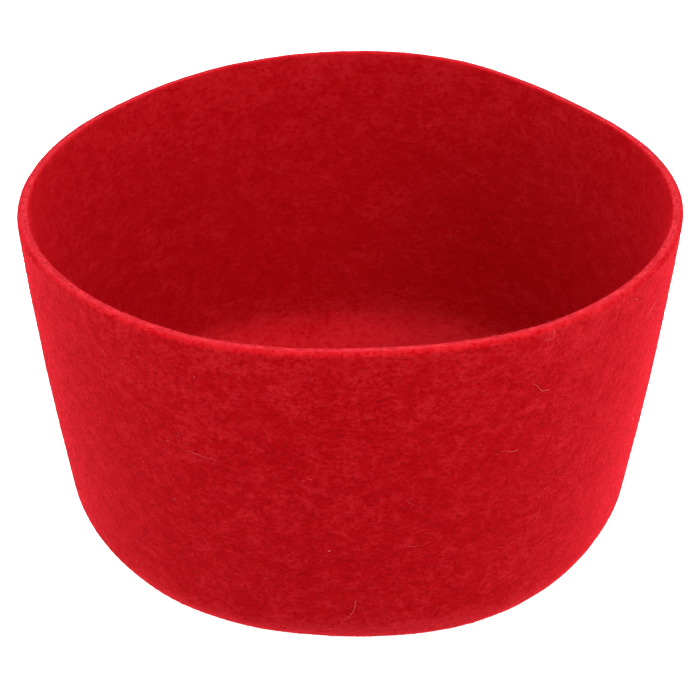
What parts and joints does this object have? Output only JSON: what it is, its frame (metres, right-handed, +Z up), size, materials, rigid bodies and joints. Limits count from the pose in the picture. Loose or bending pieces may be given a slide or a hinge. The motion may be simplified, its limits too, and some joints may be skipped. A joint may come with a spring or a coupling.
{
  "type": "felt fez hat",
  "caption": "Brimless hat of thick red felt in one piece, with a flat crown and a wall that widens to a plain cut rim, resting upside down on its crown.",
  "frame": {"origin": "centre of the crown's flat outer face, which the hat rests on", "axes": "+Z up, out of the open end; -Y towards the front of the picture; +X to the right as seen from the front"},
  "size_m": [0.1913, 0.1883, 0.107],
  "materials": {
    "red_felt": "matt pressed wool felt with a fine short nap"
  },
  "bodies": {
    "root": {"felt_cap": "red_felt"}
  },
  "joints": []
}
